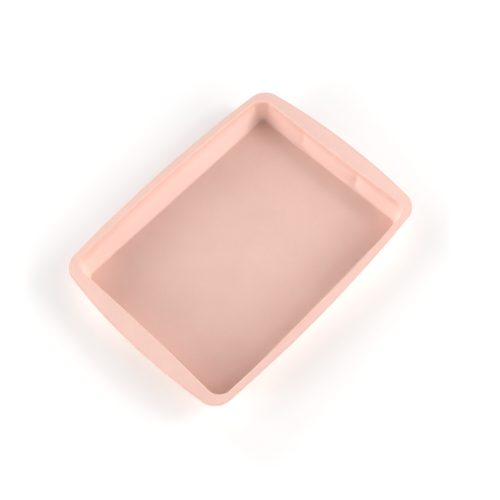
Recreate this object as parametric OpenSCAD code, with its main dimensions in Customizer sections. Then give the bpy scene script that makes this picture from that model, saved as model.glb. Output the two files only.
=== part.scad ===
// Soap slab mould: a shallow rectangular tray moulded in one piece from soft silicone.
// Millimetres, +Z up. The origin is the middle of the underside, where the tray rests.
// Length runs along X, width along Y, and the rim's top face is the highest plane.

/* [Rim] */
// Overall length, between the middles of the two end grips
rim_l = 300; // [240:1:420]
// Overall width, between the middles of the two long sides
rim_w = 222; // [180:1:320]
// How far each end bows out past its corners
rim_end_bow = 8.5; // [0:0.1:13]
// How far each long side bows out past its corners
rim_side_bow = 6.5; // [0:0.1:8]
// Radius of the rim's corners
rim_corner_r = 15; // [8:0.5:25]
// Thickness of the rim
rim_t = 2.2; // [1.6:0.1:4]
// Rounding of the rim's outer edge, above and below
rim_edge_r = 0.7; // [0.2:0.1:0.7]

/* [Cavity] */
// Width of the rim at the middle of each end, where the hands lift it
grip_w = 19.2; // [15:0.1:30]
// Width of the rim at the middle of each long side
side_rim_w = 8.5; // [7:0.1:20]
// How far the mouth bows out at each end, where less than zero bows inwards
mouth_end_bow = -1.4; // [-3:0.1:4]
// How far the mouth bows out at each long side
mouth_side_bow = 4.5; // [3:0.1:8]
// Radius of the mouth's corners
mouth_corner_r = 13; // [8:0.5:25]
// Depth of the cavity, from the rim's top face to the floor
cavity_depth = 32.5; // [20:0.5:60]
// How far each wall leans in from the mouth's corners down to the floor
wall_draft = 3.8; // [1:0.1:8]
// Height of the upright band around the mouth, where the walls don't lean
upright_h = 8.5; // [5:0.5:14]
// Radius of the floor's corners
floor_corner_r = 7.5; // [5:0.5:20]
// Rounding between the rim and the walls
lip_r = 1.6; // [0.5:0.1:3]
// Rounding between the walls and the floor, inside
floor_fillet_r = 1.6; // [1:0.1:4.5]

/* [Shell] */
// Thickness of the walls
wall_t = 2; // [1.5:0.1:3.5]
// Thickness of the floor
floor_t = 2; // [1.5:0.1:4]
// Rounding under the rim, between its underside and the walls
under_rim_r = 2; // [0.5:0.1:3]
// Rounding around the underside
base_edge_r = 3.6; // [1:0.1:6]

/* [Hidden] */

silicone_pink = [0.94, 0.76, 0.71];

// Straight pieces in each long side, each end and each corner of a ring, and in each rounding.
// Sides and ends have an even number, so that a point lies at the middle of each bow.
side_steps = 14;
end_steps = 12;
corner_steps = 9;
round_steps = 5;
edge_steps = 3;
least_corner_r = 0.3;

rim_top = floor_t + cavity_depth;
rim_under = rim_top - rim_t;
// Height of the shoulder below which the walls lean, always lower than the rounding under the rim
shoulder = min(rim_top - upright_h, rim_under - under_rim_r - 0.2);

// A plan is [half length and half width at the corners, corner radius, end bow, side bow]
rim_plan = [rim_l / 2 - rim_end_bow, rim_w / 2 - rim_side_bow, rim_corner_r, rim_end_bow, rim_side_bow];
mouth_plan = [
    rim_l / 2 - grip_w - mouth_end_bow,
    rim_w / 2 - side_rim_w - mouth_side_bow,
    mouth_corner_r, mouth_end_bow, mouth_side_bow
];
floor_plan = [mouth_plan[0] - wall_draft, mouth_plan[1] - wall_draft, floor_corner_r, 0, 0];

function between(a, b, t) = a + (b - a) * t;

// The same plan, grown outwards by d, with its corners never quite sharp
function grown(plan, d) = [plan[0] + d, plan[1] + d, max(plan[2] + d, least_corner_r), plan[3], plan[4]];

// The radius of the walls' corners at height z, which opens up mostly towards the mouth
function wall_corner_r(z) = between(floor_corner_r, mouth_corner_r, pow((z - floor_t) / cavity_depth, 2));

// The cavity's plan at height z, moved outwards by d: the walls lean evenly from the floor up to the
// shoulder, and stand upright from there to the mouth
function wall_plan(z, d) =
    let (p = between(floor_plan, mouth_plan, min((z - floor_t) / (shoulder - floor_t), 1)))
    grown([p[0], p[1], wall_corner_r(z), p[3], p[4]], d);

// Corner k of a plan before its sides are bowed, anticlockwise from the corner at +X +Y
function corner_points(plan, k) =
    let (side_x = (k == 0 || k == 3) ? 1 : -1, side_y = k < 2 ? 1 : -1, r = plan[2])
    [for (i = [0:corner_steps]) let (a = 90 * (k + i / corner_steps))
        [side_x * (plan[0] - r) + r * cos(a), side_y * (plan[1] - r) + r * sin(a)]];

// The points inside the straight side that leads from one corner to the next
function side_points(from, to, steps) = [for (i = [1:steps - 1]) between(from, to, i / steps)];

// The whole rounded rectangle, with straight sides
function straight_ring(plan) =
    let (corners = [for (k = [0:3]) corner_points(plan, k)])
    [for (k = [0:3])
        let (last = corners[k][corner_steps], next = corners[(k + 1) % 4][0])
        each concat(corners[k], side_points(last, next, k % 2 == 0 ? side_steps : end_steps))];

// One point of a ring, pushed outwards as a bowed side is: most at its middle, not at all at its corners
function bowed(plan, p) = [
    p[0] * (1 + plan[3] / plan[0] * (1 - pow(p[1] / plan[1], 2))),
    p[1] * (1 + plan[4] / plan[1] * (1 - pow(p[0] / plan[0], 2)))
];

function ring(plan, z) = [for (p = straight_ring(plan)) concat(bowed(plan, p), z)];

// How far a quarter-round of radius r stands in from the wall, h above the flat that it meets
function inset(r, h) = r - sqrt(pow(r, 2) - pow(r - h, 2));

// Heights above the flat at which a quarter-round is drawn, with steps of equal angle
function round_heights(r, steps) = [for (i = [0:steps]) r * (1 - cos(90 * i / steps))];
function reversed(list) = [for (i = [len(list) - 1:-1:0]) list[i]];

// Every ring of the tray's skin, from the underside, out over the rim and down to the floor
tray_rings = concat(
    [for (h = round_heights(base_edge_r, round_steps)) ring(wall_plan(h, wall_t - inset(base_edge_r, h)), h)],
    [ring(wall_plan(shoulder, wall_t), shoulder)],
    [for (h = reversed(round_heights(under_rim_r, round_steps)))
        let (z = rim_under - h) ring(wall_plan(z, wall_t + inset(under_rim_r, h)), z)],
    [for (h = round_heights(rim_edge_r, edge_steps))
        ring(grown(rim_plan, -inset(rim_edge_r, h)), rim_under + h)],
    [for (h = reversed(round_heights(rim_edge_r, edge_steps)))
        ring(grown(rim_plan, -inset(rim_edge_r, h)), rim_top - h)],
    [for (h = round_heights(lip_r, round_steps))
        let (z = rim_top - h) ring(wall_plan(z, inset(lip_r, h)), z)],
    [ring(wall_plan(shoulder, 0), shoulder)],
    [for (h = reversed(round_heights(floor_fillet_r, round_steps)))
        ring(wall_plan(floor_t + h, -inset(floor_fillet_r, h)), floor_t + h)]
);

// One closed skin through the rings, with a fan of triangles over the underside and the cavity's floor
module skin_through(rings) {
    n = len(rings[0]);
    first_of_last = (len(rings) - 1) * n;
    underside_mid = len(rings) * n;
    floor_mid = underside_mid + 1;
    points = concat([for (r = rings) each r], [[0, 0, rings[0][0][2]], [0, 0, rings[len(rings) - 1][0][2]]]);
    walls = [for (j = [0:len(rings) - 2], i = [0:n - 1])
        let (a = j * n + i, b = j * n + (i + 1) % n, c = b + n, d = a + n)
        each [[a, d, c], [a, c, b]]];
    underside = [for (i = [0:n - 1]) [underside_mid, i, (i + 1) % n]];
    cavity_floor = [for (i = [0:n - 1]) [floor_mid, first_of_last + (i + 1) % n, first_of_last + i]];
    polyhedron(points, concat(walls, underside, cavity_floor));
}

// The tray itself: floor, leaning walls and flat rim, one moulding of even thickness
module mould_tray() {
    color(silicone_pink) skin_through(tray_rings);
}

mould_tray();
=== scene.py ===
"""Soft pink silicone soap mould, a shallow tray moulded in one piece, on a pale studio floor.

The tray is drawn as one closed skin: rings of points run over its underside, walls, rim and cavity,
and two grids close the underside and the cavity's floor. Everything is in metres in the CAD frame.
"""
import math

import bpy
import numpy as np
from mathutils import Matrix, Vector, noise


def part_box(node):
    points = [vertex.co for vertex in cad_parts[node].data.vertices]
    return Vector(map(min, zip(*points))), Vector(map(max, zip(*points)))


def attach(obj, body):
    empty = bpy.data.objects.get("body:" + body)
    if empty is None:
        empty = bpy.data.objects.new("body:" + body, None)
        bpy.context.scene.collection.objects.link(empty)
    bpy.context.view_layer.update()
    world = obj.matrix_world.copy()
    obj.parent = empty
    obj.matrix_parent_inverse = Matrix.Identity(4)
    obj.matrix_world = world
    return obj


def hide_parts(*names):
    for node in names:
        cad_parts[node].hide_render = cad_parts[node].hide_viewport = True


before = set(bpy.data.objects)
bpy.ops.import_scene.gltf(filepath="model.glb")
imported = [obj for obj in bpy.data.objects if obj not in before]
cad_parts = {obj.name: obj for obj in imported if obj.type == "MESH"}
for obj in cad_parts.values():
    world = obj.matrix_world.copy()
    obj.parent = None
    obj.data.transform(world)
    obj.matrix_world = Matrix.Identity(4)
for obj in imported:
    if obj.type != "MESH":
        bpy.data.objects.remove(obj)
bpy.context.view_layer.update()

MM = 0.001

# ---------------------------------------------------------------- sizes of the tray
tray_low, tray_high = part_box("mould_tray")
RIM_HALF_LENGTH = (tray_high[0] - tray_low[0]) / 2
RIM_HALF_WIDTH = (tray_high[1] - tray_low[1]) / 2
RIM_TOP = tray_high[2]

RIM_END_BOW = 8.5 * MM
RIM_SIDE_BOW = 6.5 * MM
RIM_CORNER = 15 * MM
RIM_THICKNESS = 2.2 * MM
RIM_EDGE_ROUND = 0.7 * MM
GRIP_WIDTH = 19.2 * MM
SIDE_RIM_WIDTH = 8.5 * MM
MOUTH_END_BOW = -1.4 * MM
MOUTH_SIDE_BOW = 4.5 * MM
MOUTH_CORNER = 13 * MM
CAVITY_DEPTH = 32.5 * MM
WALL_DRAFT = 3.8 * MM
UPRIGHT = 8.5 * MM
FLOOR_CORNER = 7.5 * MM
LIP_ROUND = 1.6 * MM
FLOOR_FILLET = 1.6 * MM
WALL = 2 * MM
UNDER_RIM_ROUND = 2 * MM
BASE_ROUND = 3.6 * MM

CAVITY_FLOOR = RIM_TOP - CAVITY_DEPTH
RIM_UNDER = RIM_TOP - RIM_THICKNESS
SHOULDER = 1 - UPRIGHT / CAVITY_DEPTH     # share of the walls' height at which they turn upright

# How soft silicone strays from its drawing
GRIP_DROOP = 0.7 * MM         # how far the middle of a grip hangs below the mouth
RIM_WAVE, RIM_WAVE_LENGTH = 0.22 * MM, 60 * MM    # slow waves along the free edge of the rim
SHOULDER_OUT = 1.5 * MM       # how far the walls are pushed out where they turn upright
CREASE_DEPTH = 4.0 * MM       # two soft upright creases in the end wall at +X
CREASE_PLACES = (39.5 * MM, -33.5 * MM)
CREASE_REACH = (11 * MM, 8 * MM)   # how far a crease spreads towards -Y and towards +Y
CREASE_FOOT, CREASE_FADE = 0.08, (0.4, 0.9)    # heights where creases start, and where they fade out
WALL_WAVE, WALL_WAVE_LENGTH = 0.16 * MM, 45 * MM
WALL_START, WALL_BLEND = 0.93, 0.03   # shares of the mouth's half size from which a place is on a wall
WALL_END, CORNER_BLEND = 0.97, 6 * MM
FLOOR_WAVE, FLOOR_WAVE_LENGTH = 0.10 * MM, 70 * MM
FLOOR_EDGE_BLEND = 20 * MM
FLASH_HEIGHT = 0.12 * MM      # thin line round the rim's edge where the two mould halves met
FLASH_WIDTH = 0.16 * MM

# Painted light and shade on the inside: lighter lower walls, a darker band under the rim and darker floor
# corners. Heights are shares of the cavity's depth
LIGHT_SHADE_LINE = 0.6               # where the painted light below meets the painted shade above
PAINTED_LIGHT_FOOT = 0.06
PAINTED_LIGHT_BLUR, BAND_SHADE_BLUR = 0.16, 0.14   # how soft the line is in the painted light below it and in the painted shade above it
BAND_SHADE_TOP, BAND_SHADE_TOP_BLUR = 0.8, 0.15
PAINTED_LIGHT_AMOUNT = 0.5               # how strong the painted light on the lower walls is
END_WALL_LIGHT, END_WALL_LIGHT_SLOPE = 0.8, 0.5   # the share of it on the end wall at +X, and its change towards +Y
LIGHT_BY_CREASE = 0.9          # how much more or less of it there is beside a crease
CORNER_SHADE_REACH = 8 * MM           # how far the painted shade spreads out of a corner of the cavity's floor
CORNER_SHADE_CLIMB = 3                # how many times less far it spreads up the walls
FAR_CORNER_SHADE, OTHER_CORNER_SHADE = 1.0, 0.12

# Quads along one long side, one end and one corner, and across each rounding
ALONG_SIDE, ALONG_END, ALONG_CORNER = 96, 84, 14
ACROSS_ROUND, ACROSS_WALL, ACROSS_RIM = 7, 14, 7


# ---------------------------------------------------------------- the tray's skin
def plan(half_length, half_width, corner, end_bow=0.0, side_bow=0.0):
    """A rounded rectangle with bowed sides: half sizes at the corners, corner radius, two bows."""
    return np.array([half_length, half_width, corner, end_bow, side_bow])


RIM = plan(
    RIM_HALF_LENGTH - RIM_END_BOW,
    RIM_HALF_WIDTH - RIM_SIDE_BOW,
    RIM_CORNER, RIM_END_BOW, RIM_SIDE_BOW,
)
MOUTH = plan(
    RIM_HALF_LENGTH - GRIP_WIDTH - MOUTH_END_BOW,
    RIM_HALF_WIDTH - SIDE_RIM_WIDTH - MOUTH_SIDE_BOW,
    MOUTH_CORNER, MOUTH_END_BOW, MOUTH_SIDE_BOW,
)
FLOOR = plan(MOUTH[0] - WALL_DRAFT, MOUTH[1] - WALL_DRAFT, FLOOR_CORNER)


def grown(outline, d):
    return outline + np.array([d, d, d, 0, 0])


def height_share(z):
    """A height as a share of the cavity's depth, from 0 at its floor to 1 at the rim's top face."""
    return (z - CAVITY_FLOOR) / CAVITY_DEPTH


def wall_plan(z, d):
    """The cavity's plan at height z, moved outwards by d. It leans up to the shoulder and then stands."""
    lean = min((z - CAVITY_FLOOR) / (CAVITY_DEPTH - UPRIGHT), 1)
    outline = FLOOR + (MOUTH - FLOOR) * lean
    outline[2] = FLOOR_CORNER + (MOUTH_CORNER - FLOOR_CORNER) * height_share(z) ** 2
    return grown(outline, d)


def outline_points(outline):
    """The points of a plan, anticlockwise. They start half way round the corner at +X +Y."""
    length, width, corner, end_bow, side_bow = outline
    points = []
    for k in range(4):
        side_x, side_y = (1 if k in (0, 3) else -1), (1 if k < 2 else -1)
        centre = np.array([(length - corner) * side_x, (width - corner) * side_y])
        turn = np.radians(90 * (k + np.arange(ALONG_CORNER + 1) / ALONG_CORNER))
        points.append(centre + corner * np.stack([np.cos(turn), np.sin(turn)], 1))
    whole = []
    for k in range(4):
        steps = ALONG_SIDE if k % 2 == 0 else ALONG_END
        start, stop = points[k][-1], points[(k + 1) % 4][0]
        share = np.arange(1, steps)[:, None] / steps
        whole += [points[k], start + (stop - start) * share]
    flat = np.roll(np.concatenate(whole), -(ALONG_CORNER // 2), axis=0)
    x, y = flat[:, 0], flat[:, 1]
    return np.stack([
        x * (1 + end_bow / length * (1 - (y / width) ** 2)),
        y * (1 + side_bow / width * (1 - (x / length) ** 2)),
    ], 1)


def round_heights(radius, steps=ACROSS_ROUND):
    """Heights above the flat at which a quarter-round is drawn, with steps of equal angle."""
    return radius * (1 - np.cos(np.linspace(0, math.pi / 2, steps + 1)))


def inset(radius, height):
    """How far a quarter-round stands in from the wall at that height above the flat."""
    return radius - np.sqrt(np.maximum(radius ** 2 - (radius - height) ** 2, 0))


class Ring:
    """One ring of the skin. rim runs from 0 where the rim leaves the walls to 1 at its free edge, and
    height from 0 at the cavity's floor to 1 at the rim."""

    def __init__(self, xy, z, rim, height):
        self.xy, self.z, self.rim, self.height = xy, z, rim, height


def wall_ring(z, d):
    return Ring(outline_points(wall_plan(z, d)), z, 0.0, min(max(height_share(z), 0), 1))


def between_rings(a, b, steps):
    """The rings strictly between two others, evenly spread."""
    made = []
    for i in range(1, steps):
        t = i / steps
        made.append(Ring(a.xy + (b.xy - a.xy) * t, a.z + (b.z - a.z) * t,
                         a.rim + (b.rim - a.rim) * t, a.height + (b.height - a.height) * t))
    return made


def edge_rings():
    """The rim's free edge, from its underside up to its top face, with the flash line half way up."""
    low = [(RIM_UNDER + h, -inset(RIM_EDGE_ROUND, h)) for h in round_heights(RIM_EDGE_ROUND)]
    high = [(RIM_TOP - h, -inset(RIM_EDGE_ROUND, h)) for h in round_heights(RIM_EDGE_ROUND)[::-1]]
    middle = (RIM_UNDER + RIM_TOP) / 2
    flash = [(middle - FLASH_WIDTH, 0), (middle, FLASH_HEIGHT), (middle + FLASH_WIDTH, 0)]
    return [Ring(outline_points(grown(RIM, d)), z, 1.0, 1.0) for z, d in low + flash + high]


def skin_rings():
    """The rings from the edge of the underside out over the rim, and those from the lip down to the
    cavity's floor."""
    base = [wall_ring(h, WALL - inset(BASE_ROUND, h)) for h in round_heights(BASE_ROUND)]
    neck = [wall_ring(RIM_UNDER - h, WALL + inset(UNDER_RIM_ROUND, h))
            for h in round_heights(UNDER_RIM_ROUND)[::-1]]
    outside = [wall_ring(z, WALL) for z in np.linspace(base[-1].z, neck[0].z, ACROSS_WALL + 1)[1:-1]]
    edge = edge_rings()
    lip = [wall_ring(RIM_TOP - h, inset(LIP_ROUND, h)) for h in round_heights(LIP_ROUND)]
    foot = [wall_ring(CAVITY_FLOOR + h, -inset(FLOOR_FILLET, h)) for h in round_heights(FLOOR_FILLET)[::-1]]
    inside = [wall_ring(z, 0) for z in np.linspace(lip[-1].z, foot[0].z, ACROSS_WALL + 1)[1:-1]]
    underneath = between_rings(neck[-1], edge[0], ACROSS_RIM)
    on_top = between_rings(edge[-1], lip[0], ACROSS_RIM)
    return base + outside + neck + underneath + edge + on_top, lip + inside + foot


def slow_noise(place, wavelength, seed):
    """Smooth noise from -1 to 1, the same on every run."""
    return noise.noise(Vector(place) / wavelength + Vector((seed, 0, 0)))


def smooth(t):
    t = min(max(t, 0), 1)
    return t * t * (3 - 2 * t)


def creases(y, height):
    """How near a place on the end wall is to its creases, on their -Y side and on their +Y side."""
    near = [0.0, 0.0]
    for place in CREASE_PLACES:
        side = 1 if y > place else 0
        near[side] += math.exp(-abs(y - place) / CREASE_REACH[side])
    start, stop = CREASE_FADE
    strength = smooth(height / CREASE_FOOT) * (1 - smooth((height - start) / (stop - start)))
    return near[0] * strength, near[1] * strength


def painted_wall_light(x, y, z):
    """Painted light: how much lighter the inside of the walls is, up to a line part way up the walls.
    On the end wall at +X it thins out towards +Y, and each crease has more of it on its lit -Y side and
    painted shade on its +Y side."""
    height = height_share(z)
    film_and_painted_light = smooth(height / PAINTED_LIGHT_FOOT) * (1 - smooth((height - LIGHT_SHADE_LINE) / PAINTED_LIGHT_BLUR + 0.5))
    if x > MOUTH[0] * WALL_START:
        # painted light on each crease's lit -Y side and painted shade on its +Y side
        lit_side, rubbed_and_shaded = creases(y, height)
        film_and_painted_light *= END_WALL_LIGHT - END_WALL_LIGHT_SLOPE * y / MOUTH[1] + LIGHT_BY_CREASE * (lit_side - rubbed_and_shaded)
    return min(max(PAINTED_LIGHT_AMOUNT * film_and_painted_light, 0), 1)


def painted_band_shade(x, y, z):
    """Painted shade: how far the inside of the walls is darkened, in a soft band above the line, under the
    rim.
    """
    height = height_share(z)
    above_line = smooth((height - LIGHT_SHADE_LINE) / BAND_SHADE_BLUR + 0.5)
    return above_line * (1 - smooth((height - BAND_SHADE_TOP) / BAND_SHADE_TOP_BLUR))


def painted_corner_shade(x, y, z):
    """Painted shade in the corners of the cavity's floor, most of it in the corner at +X +Y."""
    climbed = CORNER_SHADE_CLIMB * (z - CAVITY_FLOOR)
    away_from_corner = math.hypot(FLOOR[0] - abs(x), FLOOR[1] - abs(y), climbed)
    amount = FAR_CORNER_SHADE if x > 0 and y > 0 else OTHER_CORNER_SHADE
    return amount * math.exp(-away_from_corner / CORNER_SHADE_REACH)


def on_wall(across, half_across, along, half_along):
    """1 on the straight part of a wall, fading to 0 at its corners and away from the walls."""
    at_wall = smooth((abs(across) / half_across - WALL_START) / WALL_BLEND)
    return at_wall * smooth((half_along * WALL_END - abs(along)) / CORNER_BLEND)


def wall_stray(x, y, height):
    """How far the walls' points move at a place, along X and along Y."""
    end_wall = on_wall(x, MOUTH[0], y, MOUTH[1])
    side_wall = on_wall(y, MOUTH[1], x, MOUTH[0])
    out = SHOULDER_OUT * min(height / SHOULDER, (1 - height) / (1 - SHOULDER))
    wave = WALL_WAVE * slow_noise((x, y, 0), WALL_WAVE_LENGTH, 3.1) * math.sin(math.pi * height)
    crease = CREASE_DEPTH * sum(creases(y, height)) if x > 0 else 0
    into_end = end_wall * (wave - out - crease)
    into_side = side_wall * (wave - out)
    return into_end * -np.sign(x), into_side * -np.sign(y)


def strayed(ring):
    """A ring's points after the silicone has settled: the rim droops and waves, and the walls stray."""
    points = np.column_stack([ring.xy, np.full(len(ring.xy), ring.z)])
    for p in points:
        x, y = p[0], p[1]
        grip = smooth((abs(x) - MOUTH[0]) / (GRIP_WIDTH * 0.9)) * (1 - (y / RIM[1]) ** 2)
        p[2] -= ring.rim * GRIP_DROOP * grip
        p[2] += ring.rim * RIM_WAVE * slow_noise((x, y, 0), RIM_WAVE_LENGTH, 7.7)
        if 0 < ring.height < 1:
            dx, dy = wall_stray(x, y, ring.height)
            p[0] += dx
            p[1] += dy
    return points


def cap_points(border, columns, rows):
    """A grid that fills a closed border, with the border's own points all round it."""
    right, top = border[-rows:], border[:columns + 1]
    right = np.concatenate([right, border[:1]])
    left = border[columns:columns + rows + 1]
    bottom = border[columns + rows:2 * columns + rows + 1]
    top, left = top[::-1], left[::-1]
    u = np.linspace(0, 1, columns + 1)[:, None, None]
    v = np.linspace(0, 1, rows + 1)[None, :, None]
    low_corners = (1 - u) * (1 - v) * bottom[0] + u * (1 - v) * bottom[-1]
    high_corners = (1 - u) * v * top[0] + u * v * top[-1]
    sides = (1 - v) * bottom[:, None] + v * top[:, None] + (1 - u) * left[None] + u * right[None]
    return sides - low_corners - high_corners


def add_cap(verts, faces, border, first, lift, upwards):
    """Closes a border of points with a grid of quads. first is the border's first vertex number."""
    columns, rows = ALONG_SIDE + ALONG_CORNER, ALONG_END + ALONG_CORNER
    grid = cap_points(border, columns, rows)
    count = len(border)
    number = np.zeros((columns + 1, rows + 1), dtype=int)
    for i in range(columns + 1):
        for j in range(rows + 1):
            if j == rows:
                number[i, j] = first + columns - i
            elif i == 0:
                number[i, j] = first + columns + (rows - j)
            elif j == 0:
                number[i, j] = first + columns + rows + i
            elif i == columns:
                number[i, j] = first + (count - rows + j) % count
            else:
                number[i, j] = len(verts)
                p = grid[i, j].copy()
                p[2] += lift(p)
                verts.append(p)
    for i in range(columns):
        for j in range(rows):
            quad = [number[i, j], number[i + 1, j], number[i + 1, j + 1], number[i, j + 1]]
            faces.append(quad if upwards else quad[::-1])


def floor_lift(p):
    """Slow unevenness of the cavity's floor, none at its edge."""
    off_ends = smooth((FLOOR[0] - abs(p[0])) / FLOOR_EDGE_BLEND)
    off_sides = smooth((FLOOR[1] - abs(p[1])) / FLOOR_EDGE_BLEND)
    return FLOOR_WAVE * off_ends * off_sides * slow_noise((p[0], p[1], 0), FLOOR_WAVE_LENGTH, 1.3)


def paint(mesh, name, values):
    """Stores one value for each point of a mesh, for the material to read."""
    mesh.attributes.new(name, "FLOAT", "POINT").data.foreach_set("value", [float(v) for v in values])


def make_tray():
    """The whole tray as one closed mesh of quads."""
    outer_rings, inner_rings = skin_rings()
    rings = outer_rings + inner_rings
    verts, faces, edge = [], [], []
    for ring in rings:
        verts += list(strayed(ring))
        edge += [1.0 if ring.rim == 1 else 0.0] * len(ring.xy)
    count = len(rings[0].xy)
    for j in range(len(rings) - 1):
        for i in range(count):
            a, b = j * count + i, j * count + (i + 1) % count
            faces.append([a, b, b + count, a + count])
    last = (len(rings) - 1) * count
    add_cap(verts, faces, np.array(verts[last:last + count]), last, floor_lift, upwards=True)
    inside = range(len(outer_rings) * count, len(verts))
    add_cap(verts, faces, np.array(verts[:count]), 0, lambda p: 0.0, upwards=False)
    mesh = bpy.data.meshes.new("silicone_tray")
    mesh.from_pydata([tuple(v) for v in verts], [], [[int(n) for n in f] for f in faces])
    # a darker colour painted on the rim's free edge
    paint(mesh, "darker_rim_edge", edge + [0.0] * (len(verts) - len(edge)))
    # painted light on the lower inner walls, painted shade in a band under the rim and in the floor's
    # corners
    for name, amount in (("painted_wall_light", painted_wall_light), ("painted_band_shade", painted_band_shade), ("painted_corner_shade", painted_corner_shade)):
        paint(mesh, name, [amount(*v) if n in inside else 0.0 for n, v in enumerate(verts)])
    mesh.validate()
    mesh.shade_smooth()
    tray = bpy.data.objects.new("silicone_tray", mesh)
    bpy.context.scene.collection.objects.link(tray)
    return tray


# ---------------------------------------------------------------- effects shared by the materials
def effect(name, inputs, outputs):
    """An empty shader node group with named sockets, and a short way to add nodes and wires to it."""
    tree = bpy.data.node_groups.new(name, "ShaderNodeTree")
    for label, start in inputs.items():
        socket = tree.interface.new_socket(label, in_out="INPUT", socket_type="NodeSocketFloat")
        socket.default_value = start
    for label in outputs:
        tree.interface.new_socket(label, in_out="OUTPUT", socket_type="NodeSocketFloat")
    return Wiring(tree), tree.nodes.new("NodeGroupInput"), tree.nodes.new("NodeGroupOutput")


class Wiring:
    """Adds nodes to a tree. A value given for an input is a wire if it is a socket, or else a setting."""

    def __init__(self, tree):
        self.tree = tree

    def node(self, kind, inputs=(), **settings):
        made = self.tree.nodes.new(kind)
        for key, value in settings.items():
            setattr(made, key, value)
        for key, value in dict(inputs).items():
            self.join(value, made.inputs[key])
        return made

    def join(self, value, socket):
        if isinstance(value, bpy.types.NodeSocket):
            self.tree.links.new(value, socket)
        else:
            socket.default_value = value

    def sum(self, operation, a, b=0.0, c=0.0, clamp=False):
        made = self.node("ShaderNodeMath", {0: a, 1: b, 2: c}, operation=operation, use_clamp=clamp)
        return made.outputs[0]

    def remap(self, value, low, high, to_low=0.0, to_high=1.0):
        return self.node("ShaderNodeMapRange", {
            "Value": value, "From Min": low, "From Max": high, "To Min": to_low, "To Max": to_high,
        }, interpolation_type="SMOOTHSTEP").outputs[0]

    def place(self):
        return self.node("ShaderNodeTexCoord").outputs["Object"]

    def cloud(self, size, detail=2.0, roughness=0.5, place=None):
        """Noise whose lumps are about size metres across."""
        scale = self.sum("DIVIDE", 1.0, size)
        return self.node("ShaderNodeTexNoise", {
            "Vector": place or self.place(), "Scale": scale, "Detail": detail, "Roughness": roughness,
        }).outputs["Fac"]


def moulded_grain():
    """The fine blasted texture that a steel mould leaves on silicone, as a height."""
    w, given, out = effect("moulded_grain", {"Grain Size": 0.0005}, ["Height"])
    fine = w.cloud(given.outputs["Grain Size"], detail=3.0, roughness=0.6)
    coarse = w.cloud(w.sum("MULTIPLY", given.outputs["Grain Size"], 6.0), detail=1.0)
    w.join(w.sum("MULTIPLY_ADD", coarse, 0.35, fine), out.inputs["Height"])
    return w.tree


def slow_mottle():
    """Soft blotches, as pigment is never stirred quite even: a mask from 0 to 1."""
    w, given, out = effect("slow_mottle", {"Patch Size": 0.05, "Contrast": 0.5}, ["Mask"])
    patches = w.cloud(given.outputs["Patch Size"], detail=3.0, roughness=0.55)
    half = w.sum("MULTIPLY", given.outputs["Contrast"], 0.5)
    low, high = w.sum("SUBTRACT", 0.5, half), w.sum("ADD", 0.5, half)
    w.join(w.remap(patches, low, high), out.inputs["Mask"])
    return w.tree


def dust_film():
    """A thin layer of dust and dried soap that lies on faces that look up, thicker in some patches."""
    w, given, out = effect("dust_film", {"Patch Size": 0.02, "Cover": 0.5}, ["Mask", "Specks"])
    normal = w.node("ShaderNodeNewGeometry").outputs["Normal"]
    up = w.remap(w.node("ShaderNodeSeparateXYZ", {0: normal}).outputs["Z"], 0.2, 0.95)
    patches = w.remap(w.cloud(given.outputs["Patch Size"], detail=4.0, roughness=0.6), 0.42, 0.68)
    w.join(w.sum("MULTIPLY", w.sum("MULTIPLY", up, patches), given.outputs["Cover"]), out.inputs["Mask"])
    dots = w.node("ShaderNodeTexVoronoi", {"Vector": w.place(), "Scale": 420.0}, feature="F1")
    speck = w.remap(dots.outputs["Distance"], 0.05, 0.11, 1.0, 0.0)
    dot_number = w.node("ShaderNodeSeparateColor", {0: dots.outputs["Color"]}).outputs[0]
    chosen = w.sum("GREATER_THAN", dot_number, 0.93)
    w.join(w.sum("MULTIPLY", w.sum("MULTIPLY", speck, chosen), up), out.inputs["Specks"])
    return w.tree


def uneven_layer():
    """A layer whose amount is given for each point, broken up by patches: a mask from 0 to 1."""
    inputs = {"Amount": 0.0, "Patch Size": 0.01, "Unevenness": 0.3}
    w, given, out = effect("uneven_layer", inputs, ["Mask"])
    patches = w.remap(w.cloud(given.outputs["Patch Size"], detail=4.0, roughness=0.6), 0.35, 0.65)
    missing = w.sum("MULTIPLY", w.sum("SUBTRACT", 1.0, patches), given.outputs["Unevenness"])
    present = w.sum("SUBTRACT", 1.0, missing)
    w.join(w.sum("MULTIPLY", given.outputs["Amount"], present, clamp=True), out.inputs["Mask"])
    return w.tree


def handling_polish():
    """Fine streaks where hands and scrapers have worn the surface smoother."""
    w, given, out = effect("handling_polish", {"Streak Size": 0.002, "Amount": 0.5}, ["Mask"])
    stretched = w.node("ShaderNodeMapping", {
        "Vector": w.place(), "Rotation": (0.0, 0.0, math.radians(24)), "Scale": (0.16, 1.0, 1.0),
    }).outputs[0]
    streaks = w.remap(w.cloud(given.outputs["Streak Size"], 4.0, 0.65, stretched), 0.56, 0.72)
    patches = w.remap(w.cloud(0.035, 1.0), 0.45, 0.65)
    rubbed_and_shaded = w.sum("MULTIPLY", streaks, patches)
    w.join(w.sum("MULTIPLY", rubbed_and_shaded, given.outputs["Amount"]), out.inputs["Mask"])
    return w.tree


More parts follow.
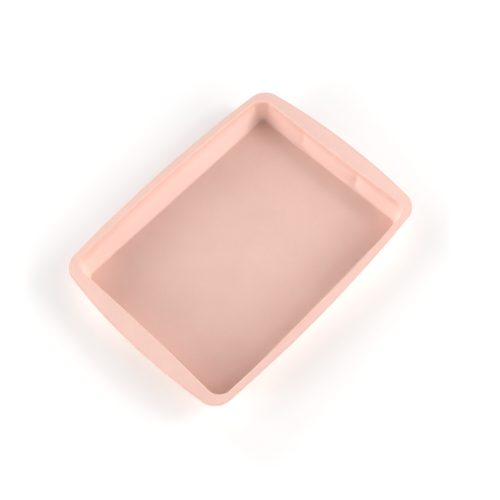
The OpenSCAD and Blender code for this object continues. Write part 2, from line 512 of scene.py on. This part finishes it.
# ---------------------------------------------------------------- materials
DARK_PINK, LIGHT_PINK = (0.778, 0.552, 0.478, 1), (0.798, 0.572, 0.498, 1)
SPECKLE_COVER, SPECKLE_ROSE = 0.10, (0.620, 0.420, 0.360, 1)
PAINTED_LAYERS = (    # name of the painted values, patch size, unevenness, cover and colour
    # a darker colour on the rim's free edge
    ("darker_rim_edge", 10 * MM, 0.50, 0.40, (0.560, 0.400, 0.350, 1)),
    # painted light: lighter lower walls and lit sides of the creases
    ("painted_wall_light", 6 * MM, 0.25, 0.28, (0.815, 0.780, 0.760, 1)),
    # painted shade: a darker band high on the inner walls
    ("painted_band_shade", 12 * MM, 0.25, 0.30, (0.650, 0.435, 0.370, 1)),
    # painted shade: dark floor corners, most in the corner at +X +Y
    ("painted_corner_shade", 4 * MM, 0.35, 0.75, (0.200, 0.190, 0.175, 1)),
)
DUST_COVER, DUST_WHITE = 0.08, (0.840, 0.800, 0.770, 1)
SPECKS_COVER, SPECK_WHITE = 0.35, (0.860, 0.860, 0.840, 1)
DARK_PAPER, LIGHT_PAPER = (0.850, 0.900, 0.900, 1), (0.864, 0.915, 0.913, 1)
PAPER_REACH = 1.0             # half the paper's size
PAPER_FADE = (0.45, 0.85)     # distances from the tray at which the paper starts and ends its fade


def new_material(name):
    material = bpy.data.materials.new(name)
    material.use_nodes = True
    return material, Wiring(material.node_tree), material.node_tree.nodes["Principled BSDF"]


def place_effect(w, tree, **inputs):
    made = w.node("ShaderNodeGroup", node_tree=tree)
    for key, value in inputs.items():
        w.join(value, made.inputs[key.replace("_", " ")])
    return made


def coated(w, mask, amount, below, above):
    """The colour of a surface with another colour over it, by a mask from 0 to 1 times an amount."""
    cover = mask if amount == 1 else w.sum("MULTIPLY", mask, amount)
    return w.node("ShaderNodeMix", {0: cover, 6: below, 7: above}, data_type="RGBA").outputs[2]


def pink_silicone():
    """Soft satin silicone, dusty salmon pink right through."""
    material, w, shader = new_material("pink_silicone")
    blotches, layer = slow_mottle(), uneven_layer()
    mottle = place_effect(w, blotches, Patch_Size=0.045, Contrast=0.5).outputs["Mask"]
    speckle = place_effect(w, blotches, Patch_Size=0.0014, Contrast=0.3).outputs["Mask"]
    film_and_painted_light = place_effect(w, dust_film(), Patch_Size=0.018, Cover=0.5)
    polish = place_effect(w, handling_polish(), Streak_Size=0.0025, Amount=0.6).outputs["Mask"]
    grain = place_effect(w, moulded_grain(), Grain_Size=0.00045).outputs["Height"]

    colour = coated(w, mottle, 1, DARK_PINK, LIGHT_PINK)
    colour = coated(w, speckle, SPECKLE_COVER, colour, SPECKLE_ROSE)
    for name, patch_size, unevenness, cover, tint in PAINTED_LAYERS:
        amount = w.node("ShaderNodeAttribute", attribute_name=name).outputs["Fac"]
        made = place_effect(w, layer, Amount=amount, Patch_Size=patch_size, Unevenness=unevenness)
        colour = coated(w, made.outputs["Mask"], cover, colour, tint)
    colour = coated(w, film_and_painted_light.outputs["Mask"], DUST_COVER, colour, DUST_WHITE)
    colour = coated(w, film_and_painted_light.outputs["Specks"], SPECKS_COVER, colour, SPECK_WHITE)
    w.join(colour, shader.inputs["Base Color"])

    roughness = w.remap(mottle, 0.0, 1.0, 0.52, 0.60)
    roughness = w.sum("MULTIPLY_ADD", film_and_painted_light.outputs["Mask"], 0.22, roughness)
    roughness = w.sum("MULTIPLY_ADD", polish, -0.14, roughness)
    w.join(roughness, shader.inputs["Roughness"])

    bump = w.node("ShaderNodeBump", {"Height": grain, "Strength": 0.35, "Distance": 0.00006})
    w.join(bump.outputs["Normal"], shader.inputs["Normal"])
    shader.inputs["Subsurface Weight"].default_value = 0.15
    shader.inputs["Subsurface Radius"].default_value = (1.0, 0.8, 0.72)
    shader.inputs["Subsurface Scale"].default_value = 0.0025
    shader.inputs["IOR"].default_value = 1.41
    shader.inputs["Specular IOR Level"].default_value = 0.32
    return material


def studio_paper():
    """Seamless white paper under the tray, which fades into the wall where the lamps' light ends."""
    material, w, shader = new_material("studio_paper")
    distance = w.node("ShaderNodeVectorMath", {0: w.place()}, operation="LENGTH").outputs["Value"]
    w.join(w.remap(distance, *PAPER_FADE, 1.0, 0.0), shader.inputs["Alpha"])
    fibres = w.cloud(0.0012, 4.0, 0.6)
    tone = w.remap(w.cloud(0.2, 2.0), 0.3, 0.7)
    w.join(coated(w, tone, 1, DARK_PAPER, LIGHT_PAPER), shader.inputs["Base Color"])
    bump = w.node("ShaderNodeBump", {"Height": fibres, "Strength": 0.2, "Distance": 0.0001})
    w.join(bump.outputs["Normal"], shader.inputs["Normal"])
    shader.inputs["Roughness"].default_value = 0.9
    return material


# ---------------------------------------------------------------- studio
CAMERA_AZIMUTH = -42.49
CAMERA_ELEVATION = 64.56
CAMERA_ROLL = -4.27
CAMERA_DISTANCE = 0.8368
CAMERA_LENS = 62.27
AIM = Vector((-0.0059, -0.0163, RIM_TOP))

LAMP_DISTANCE = 1.3
LAMP_SIZE = 0.5
LAMP_COLOUR = (1.0, 0.943, 0.943)
STUDIO_LAMPS = (    # name, azimuth and elevation in degrees, and power in watts of each softbox
    ("right_softbox", 45, 34, 7.2),
    ("right_high_softbox", 45, 48, 2.0),
    ("near_right_softbox", 20, 22, 5.0),
    ("near_right_side_softbox", 0, 25, 2.9),
    ("low_near_right_softbox", 0, 8, 3.3),
    ("far_right_softbox", 90, 25, 1.3),
    ("low_far_right_softbox", 90, 8, 8.4),
    ("far_left_softbox", 180, 25, 6.3),
    ("low_far_left_softbox", 180, 8, 6.7),
    ("left_softbox", 225, 34, 4.0),
    ("near_left_softbox", 250, 22, 7.1),
    ("low_near_left_softbox", 270, 8, 7.5),
    ("high_near_softbox", 315, 60, 1.3),
)


def away(azimuth, elevation):
    """The direction from the tray to a place at that azimuth and elevation. Azimuth 0 is the -Y side."""
    a, e = math.radians(azimuth), math.radians(elevation)
    return Vector((math.sin(a) * math.cos(e), -math.cos(a) * math.cos(e), math.sin(e)))


def make_camera():
    back = away(CAMERA_AZIMUTH, CAMERA_ELEVATION)
    level = Vector((0, 0, 1)).cross(back).normalized()
    roll = math.radians(CAMERA_ROLL)
    right = level * math.cos(roll) + back.cross(level) * math.sin(roll)
    up = back.cross(right)
    camera = bpy.data.objects.new("camera", bpy.data.cameras.new("camera"))
    camera.data.lens = CAMERA_LENS
    camera.data.sensor_width = 36
    turn = Matrix((right, up, back)).transposed().to_4x4()
    camera.matrix_world = Matrix.Translation(AIM + back * CAMERA_DISTANCE) @ turn
    bpy.context.scene.collection.objects.link(camera)
    bpy.context.scene.camera = camera


def softbox(name, azimuth, elevation, power):
    """A square lamp that looks at the tray."""
    lamp = bpy.data.lights.new(name, "AREA")
    lamp.shape = "SQUARE"
    lamp.size, lamp.energy, lamp.color = LAMP_SIZE, power, LAMP_COLOUR
    holder = bpy.data.objects.new(name, lamp)
    back = away(azimuth, elevation)
    turn = back.to_track_quat("Z", "Y").to_matrix().to_4x4()
    holder.matrix_world = Matrix.Translation(back * LAMP_DISTANCE) @ turn
    bpy.context.scene.collection.objects.link(holder)


def make_world():
    """A white wall all round that is seen but gives no light, so the lamps give all of it."""
    world = bpy.data.worlds.new("studio")
    world.use_nodes = True
    w, background = Wiring(world.node_tree), world.node_tree.nodes["Background"]
    background.inputs["Color"].default_value = (1, 1, 1, 1)
    w.join(w.node("ShaderNodeLightPath").outputs["Is Camera Ray"], background.inputs["Strength"])
    bpy.context.scene.world = world


def make_floor():
    corners = [(-PAPER_REACH, -PAPER_REACH, 0), (PAPER_REACH, -PAPER_REACH, 0),
               (PAPER_REACH, PAPER_REACH, 0), (-PAPER_REACH, PAPER_REACH, 0)]
    mesh = bpy.data.meshes.new("studio_floor")
    mesh.from_pydata(corners, [], [(0, 1, 2, 3)])
    floor = bpy.data.objects.new("studio_floor", mesh)
    mesh.materials.append(studio_paper())
    bpy.context.scene.collection.objects.link(floor)


# ---------------------------------------------------------------- put together
make_camera()
bpy.context.scene.view_settings.view_transform = "Standard"
tray = make_tray()
tray.data.materials.append(pink_silicone())
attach(tray, "root")
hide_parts("mould_tray")
make_floor()
make_world()
for lamp in STUDIO_LAMPS:
    softbox(*lamp)
